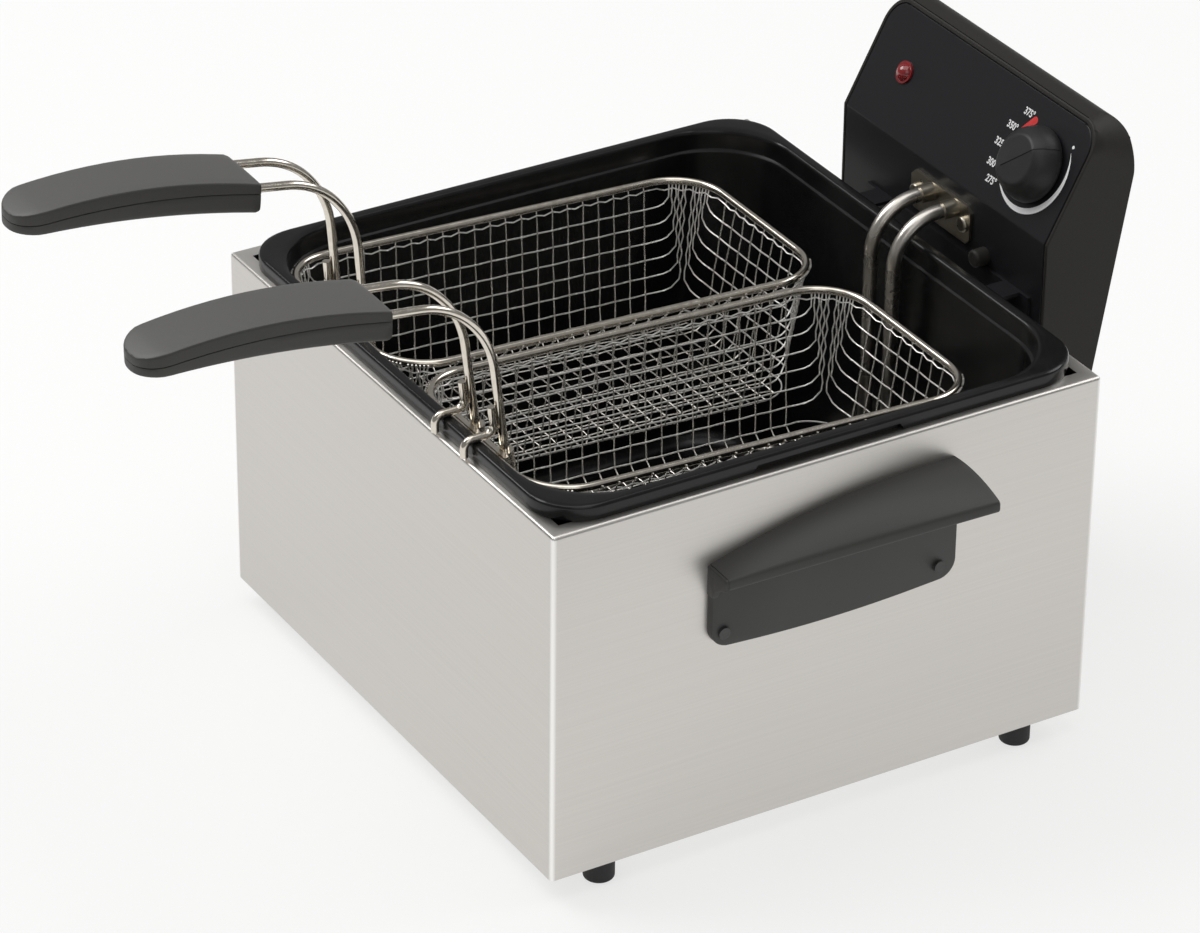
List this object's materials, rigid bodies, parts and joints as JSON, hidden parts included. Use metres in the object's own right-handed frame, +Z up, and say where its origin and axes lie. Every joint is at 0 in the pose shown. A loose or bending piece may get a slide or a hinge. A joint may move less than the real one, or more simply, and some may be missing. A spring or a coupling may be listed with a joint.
{
  "type": "deep fryer",
  "caption": "Countertop deep fryer: square steel housing, lift-out enamel oil pot, hanging wire baskets with long grips, and a removable control head with an immersion element.",
  "frame": {"origin": "middle of the flat underside of the housing, 12 mm above the table the feet stand on", "axes": "+X to the right seen from the front, +Y from the basket grips at the front to the control head at the back, +Z up"},
  "size_m": [0.3586, 0.479, 0.2791],
  "materials": {
    "stainless": "brushed",
    "rubber": "matt",
    "zinc": "bright",
    "handle_plastic": "fine matt",
    "enamel": "gloss",
    "panel_black": "satin",
    "shell_black": "satin",
    "red_lens": "clear gloss",
    "lamp_glass": "clear",
    "phenolic": "matt",
    "element_metal": "satin",
    "nickel": "bright",
    "knob_black": "satin",
    "red_button": "gloss",
    "grip_plastic": "fine matt"
  },
  "bodies": {
    "housing": {"housing_shell": "stainless", "base_plate": "stainless", "feet": "rubber", "foot_screws": "zinc", "foot_nuts": "zinc", "right_side_handle": "handle_plastic", "left_side_handle": "handle_plastic", "handle_rivets": "zinc"},
    "pot": {"oil_pot": "enamel"},
    "control_head": {"control_front_panel": "panel_black", "control_rear_shell": "shell_black", "shell_screws": "zinc", "indicator_lens": "red_lens", "indicator_lamp": "lamp_glass", "thermostat_body": "phenolic", "reset_switch": "phenolic", "power_inlet": "shell_black", "terminal_block": "phenolic", "hanger_bracket": "panel_black", "locating_peg": "shell_black", "heating_element": "element_metal", "element_plate": "nickel", "element_collars": "nickel", "element_plate_screws": "nickel"},
    "knob": {"control_knob": "knob_black", "knob_shaft": "zinc"},
    "reset": {"reset_button": "red_button"},
    "right_basket": {"right_basket_rim": "nickel", "right_basket_outer_net": "nickel", "right_basket_inner_net": "nickel", "right_basket_front_net": "nickel", "right_basket_back_net": "nickel", "right_basket_floor_net": "nickel", "right_basket_corner_folds": "nickel", "right_handle_wire": "nickel", "right_handle_bracket": "nickel", "right_hanging_hooks": "nickel", "right_grip_upper": "grip_plastic", "right_grip_lower": "grip_plastic", "right_grip_screws": "zinc"},
    "left_basket": {"left_basket_rim": "nickel", "left_basket_outer_net": "nickel", "left_basket_inner_net": "nickel", "left_basket_front_net": "nickel", "left_basket_back_net": "nickel", "left_basket_floor_net": "nickel", "left_basket_corner_folds": "nickel", "left_handle_wire": "nickel", "left_handle_bracket": "nickel", "left_hanging_hooks": "nickel", "left_grip_upper": "grip_plastic", "left_grip_lower": "grip_plastic", "left_grip_screws": "zinc"}
  },
  "joints": [
    {"name": "pot_lift", "type": "slide", "parent": "housing", "child": "pot", "axis": [0, 0, 1], "range_m": [0, 0.17]},
    {"name": "right_basket_lift", "type": "slide", "parent": "pot", "child": "right_basket", "axis": [0, 0, 1], "range_m": [0, 0.15]},
    {"name": "left_basket_lift", "type": "slide", "parent": "pot", "child": "left_basket", "axis": [0, 0, 1], "range_m": [0, 0.15]},
    {"name": "head_lift", "type": "slide", "parent": "pot", "child": "control_head", "axis": [0, 0, 1], "range_m": [0, 0.05]},
    {"name": "knob_turn", "type": "hinge", "parent": "control_head", "child": "knob", "pos_m": [0.0532, 0.16232, 0.2256], "axis": [0, 0.8829, -0.4695], "range_deg": [0, 268]},
    {"name": "reset_press", "type": "slide", "parent": "control_head", "child": "reset", "axis": [0, -0.9855, 0.1694], "range_m": [0, 0.002], "stiffness_N_per_m": 400}
  ]
}
